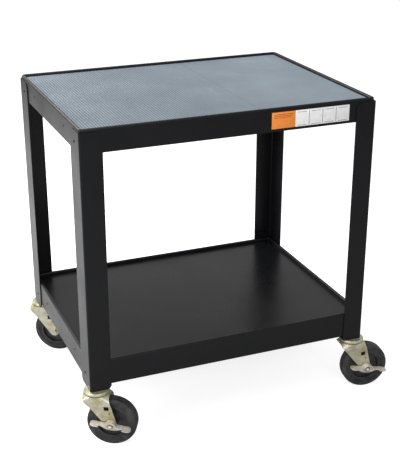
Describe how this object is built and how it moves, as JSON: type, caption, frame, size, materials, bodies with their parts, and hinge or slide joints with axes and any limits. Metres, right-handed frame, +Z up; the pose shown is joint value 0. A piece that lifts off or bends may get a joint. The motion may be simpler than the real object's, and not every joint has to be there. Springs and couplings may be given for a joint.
{
  "type": "projector cart",
  "caption": "Low two-shelf steel cart for a projector: raised shelf lips, a rubber mat on top, angle legs and swivel casters, the front ones with toggle side brakes.",
  "frame": {"origin": "centre of the rubber mat's upper surface, on which a projector stands", "axes": "+X along the long front towards the right leg, +Y from the front to the back, +Z up"},
  "size_m": [0.6935, 0.5315, 0.6567],
  "materials": {
    "black_enamel": "satin black powder coat",
    "mat_rubber": "matt ribbed rubber",
    "zinc_plate": "worn yellowed zinc plate",
    "bright_steel": "bright zinc plate",
    "worn_lever": "pale worn plate",
    "hub_plastic": "black moulded core",
    "tyre_rubber": "worn black rubber"
  },
  "bodies": {
    "root": {"top_shelf": "black_enamel", "top_mat": "mat_rubber", "lower_shelf": "black_enamel", "front_left_leg": "black_enamel", "front_right_leg": "black_enamel", "back_left_leg": "black_enamel", "back_right_leg": "black_enamel", "shelf_rivets": "black_enamel", "front_left_gusset": "black_enamel", "front_right_gusset": "black_enamel", "back_left_gusset": "black_enamel", "back_right_gusset": "black_enamel", "front_left_upper_race": "zinc_plate", "front_right_upper_race": "zinc_plate", "back_left_upper_race": "zinc_plate", "back_right_upper_race": "zinc_plate", "front_left_kingpin": "zinc_plate", "front_right_kingpin": "zinc_plate", "back_left_kingpin": "zinc_plate", "back_right_kingpin": "zinc_plate", "front_left_balls": "bright_steel", "front_right_balls": "bright_steel", "back_left_balls": "bright_steel", "back_right_balls": "bright_steel"},
    "front_left_caster": {"front_left_fork": "zinc_plate", "front_left_axle_bolt": "bright_steel", "front_left_axle_nut": "bright_steel", "front_left_axle_sleeve": "bright_steel", "front_left_washers": "bright_steel", "front_left_brake_cam": "zinc_plate"},
    "front_left_wheel": {"front_left_hub": "hub_plastic", "front_left_tyre": "tyre_rubber"},
    "front_left_brake": {"front_left_brake_lever": "worn_lever"},
    "front_right_caster": {"front_right_fork": "zinc_plate", "front_right_axle_bolt": "bright_steel", "front_right_axle_nut": "bright_steel", "front_right_axle_sleeve": "bright_steel", "front_right_washers": "bright_steel", "front_right_brake_cam": "zinc_plate"},
    "front_right_wheel": {"front_right_hub": "hub_plastic", "front_right_tyre": "tyre_rubber"},
    "front_right_brake": {"front_right_brake_lever": "worn_lever"},
    "back_left_caster": {"back_left_fork": "zinc_plate", "back_left_axle_bolt": "bright_steel", "back_left_axle_nut": "bright_steel", "back_left_axle_sleeve": "bright_steel", "back_left_washers": "bright_steel"},
    "back_left_wheel": {"back_left_hub": "hub_plastic", "back_left_tyre": "tyre_rubber"},
    "back_right_caster": {"back_right_fork": "zinc_plate", "back_right_axle_bolt": "bright_steel", "back_right_axle_nut": "bright_steel", "back_right_axle_sleeve": "bright_steel", "back_right_washers": "bright_steel"},
    "back_right_wheel": {"back_right_hub": "hub_plastic", "back_right_tyre": "tyre_rubber"}
  },
  "joints": [
    {"name": "front_left_swivel", "type": "hinge", "parent": "root", "child": "front_left_caster", "pos_m": [-0.289, -0.2155, -0.5385], "axis": [0, 0, 1], "continuous": true},
    {"name": "front_left_roll", "type": "hinge", "parent": "front_left_caster", "child": "front_left_wheel", "pos_m": [-0.26163, -0.23005, -0.6009], "axis": [-0.4695, -0.8829, 0], "continuous": true},
    {"name": "front_left_brake_toggle", "type": "hinge", "parent": "front_left_caster", "child": "front_left_brake", "pos_m": [-0.26163, -0.23005, -0.6009], "axis": [-0.4695, -0.8829, 0], "range_deg": [0, 18]},
    {"name": "front_right_swivel", "type": "hinge", "parent": "root", "child": "front_right_caster", "pos_m": [0.289, -0.2155, -0.5385], "axis": [0, 0, 1], "continuous": true},
    {"name": "front_right_roll", "type": "hinge", "parent": "front_right_caster", "child": "front_right_wheel", "pos_m": [0.31962, -0.22035, -0.6009], "axis": [-0.1564, -0.9877, 0], "continuous": true},
    {"name": "front_right_brake_toggle", "type": "hinge", "parent": "front_right_caster", "child": "front_right_brake", "pos_m": [0.31962, -0.22035, -0.6009], "axis": [-0.1564, -0.9877, 0], "range_deg": [0, 18]},
    {"name": "back_left_swivel", "type": "hinge", "parent": "root", "child": "back_left_caster", "pos_m": [-0.289, 0.2155, -0.5385], "axis": [0, 0, 1], "continuous": true},
    {"name": "back_left_roll", "type": "hinge", "parent": "back_left_caster", "child": "back_left_wheel", "pos_m": [-0.26392, 0.19728, -0.6009], "axis": [-0.5878, -0.809, 0], "continuous": true},
    {"name": "back_right_swivel", "type": "hinge", "parent": "root", "child": "back_right_caster", "pos_m": [0.289, 0.2155, -0.5385], "axis": [0, 0, 1], "continuous": true},
    {"name": "back_right_roll", "type": "hinge", "parent": "back_right_caster", "child": "back_right_wheel", "pos_m": [0.31813, 0.2049, -0.6009], "axis": [-0.342, -0.9397, 0], "continuous": true}
  ]
}
